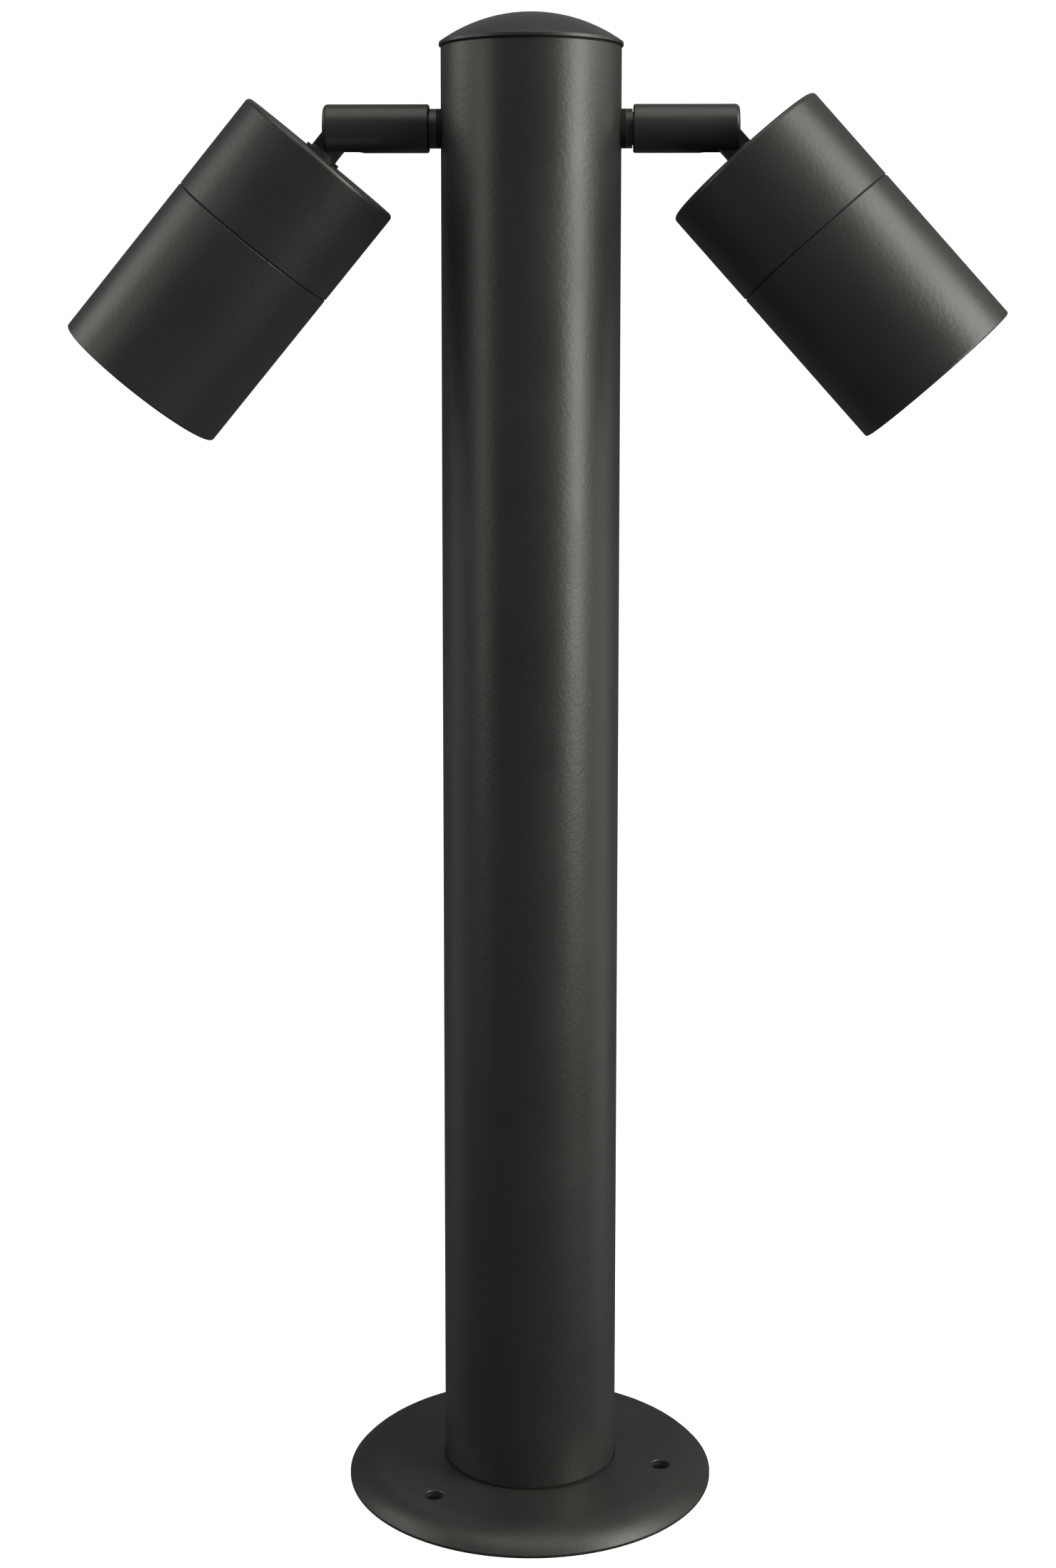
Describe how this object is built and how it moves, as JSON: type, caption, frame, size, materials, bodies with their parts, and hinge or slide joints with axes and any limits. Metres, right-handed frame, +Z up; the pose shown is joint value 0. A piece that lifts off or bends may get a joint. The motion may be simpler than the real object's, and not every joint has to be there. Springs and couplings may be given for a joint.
{
  "type": "bollard spotlight",
  "caption": "Bolt-down garden bollard light: round post with a domed cap, a dished floor flange, and tilting, swivelling cylindrical spotlight heads on short side arms.",
  "frame": {"origin": "on the post's axis at floor level, under the flange", "axes": "+Z up along the post, +X towards the right arm, +Y towards the rear, where the arms' screws face"},
  "size_m": [0.3128, 0.1274, 0.5056],
  "materials": {
    "black_powder_coat": "satin",
    "stainless_steel": "satin",
    "zinc_plated_steel": "satin",
    "black_rubber": "matte",
    "black_nylon": "matte",
    "white_nylon": "satin",
    "brass": "satin",
    "white_ceramic": "matte",
    "clear_glass": "polished",
    "lamp_glass": "satin",
    "lamp_white": "gloss",
    "cable_sheath": "matte",
    "core_insulation": "satin",
    "lead_sleeving": "matte"
  },
  "bodies": {
    "post": {"base_plate": "black_powder_coat", "foot_casting": "zinc_plated_steel", "foot_screws": "stainless_steel", "tube_grub_screws": "stainless_steel", "gland_body": "black_nylon", "gland_seal": "black_rubber", "gland_nut": "black_nylon", "terminal_block": "white_nylon", "terminal_clamps": "brass", "terminal_screws": "zinc_plated_steel", "block_screw": "zinc_plated_steel", "foot_seal": "black_rubber", "post_tube": "black_powder_coat", "cap_seal": "black_rubber", "post_cap": "black_powder_coat", "feed_cables": "cable_sheath", "feed_cores": "core_insulation", "swivel_stems": "black_powder_coat", "saddle_gaskets": "black_rubber", "stem_lock_nuts": "brass"},
    "right_arm": {"right_arm_sleeve": "black_powder_coat", "right_sleeve_set_screw": "stainless_steel", "right_pivot_screw": "stainless_steel", "right_friction_washers": "black_nylon"},
    "right_head": {"right_knuckle": "black_powder_coat", "right_neck_seal": "black_rubber", "right_neck_lock_nut": "brass", "right_rear_housing": "black_powder_coat", "right_housing_o_ring": "black_rubber", "right_holder_bracket": "zinc_plated_steel", "right_lampholder": "white_ceramic", "right_head_screws": "zinc_plated_steel", "right_lamp_leads": "lead_sleeving"},
    "right_lamp": {"right_lamp_body": "lamp_white", "right_lamp_lens": "lamp_glass", "right_lamp_pins": "zinc_plated_steel"},
    "right_barrel": {"right_front_barrel": "black_powder_coat", "right_lens_gasket": "black_rubber", "right_lens_glass": "clear_glass", "right_lens_snap_ring": "stainless_steel"},
    "left_arm": {"left_arm_sleeve": "black_powder_coat", "left_sleeve_set_screw": "stainless_steel", "left_pivot_screw": "stainless_steel", "left_friction_washers": "black_nylon"},
    "left_head": {"left_knuckle": "black_powder_coat", "left_neck_seal": "black_rubber", "left_neck_lock_nut": "brass", "left_rear_housing": "black_powder_coat", "left_housing_o_ring": "black_rubber", "left_holder_bracket": "zinc_plated_steel", "left_lampholder": "white_ceramic", "left_head_screws": "zinc_plated_steel", "left_lamp_leads": "lead_sleeving"},
    "left_lamp": {"left_lamp_body": "lamp_white", "left_lamp_lens": "lamp_glass", "left_lamp_pins": "zinc_plated_steel"},
    "left_barrel": {"left_front_barrel": "black_powder_coat", "left_lens_gasket": "black_rubber", "left_lens_glass": "clear_glass", "left_lens_snap_ring": "stainless_steel"}
  },
  "joints": [
    {"name": "right_arm_swivel", "type": "hinge", "parent": "post", "child": "right_arm", "pos_m": [0.0408, 0, 0.468], "axis": [1, 0, 0], "range_deg": [-170.2, 179.8]},
    {"name": "right_head_tilt", "type": "hinge", "parent": "right_arm", "child": "right_head", "pos_m": [0.0624, 0, 0.468], "axis": [0, 0.9965, -0.0837], "range_deg": [-48.3, 41.7]},
    {"name": "right_lamp_twist", "type": "hinge", "parent": "right_head", "child": "right_lamp", "pos_m": [0.0624, 0, 0.468], "axis": [0.6652, -0.0625, -0.744], "range_deg": [0, 22]},
    {"name": "right_barrel_pull", "type": "slide", "parent": "right_head", "child": "right_barrel", "axis": [0.6652, -0.0625, -0.744], "range_m": [0, 0.06]},
    {"name": "left_arm_swivel", "type": "hinge", "parent": "post", "child": "left_arm", "pos_m": [-0.0408, 0, 0.468], "axis": [-1, 0, 0], "range_deg": [-175, 175]},
    {"name": "left_head_tilt", "type": "hinge", "parent": "left_arm", "child": "left_head", "pos_m": [-0.0624, 0, 0.468], "axis": [0, -1, 0], "range_deg": [-50.5, 39.5]},
    {"name": "left_lamp_twist", "type": "hinge", "parent": "left_head", "child": "left_lamp", "pos_m": [-0.0624, 0, 0.468], "axis": [-0.6361, 0, -0.7716], "range_deg": [0, 22]},
    {"name": "left_barrel_pull", "type": "slide", "parent": "left_head", "child": "left_barrel", "axis": [-0.6361, 0, -0.7716], "range_m": [0, 0.06]}
  ]
}
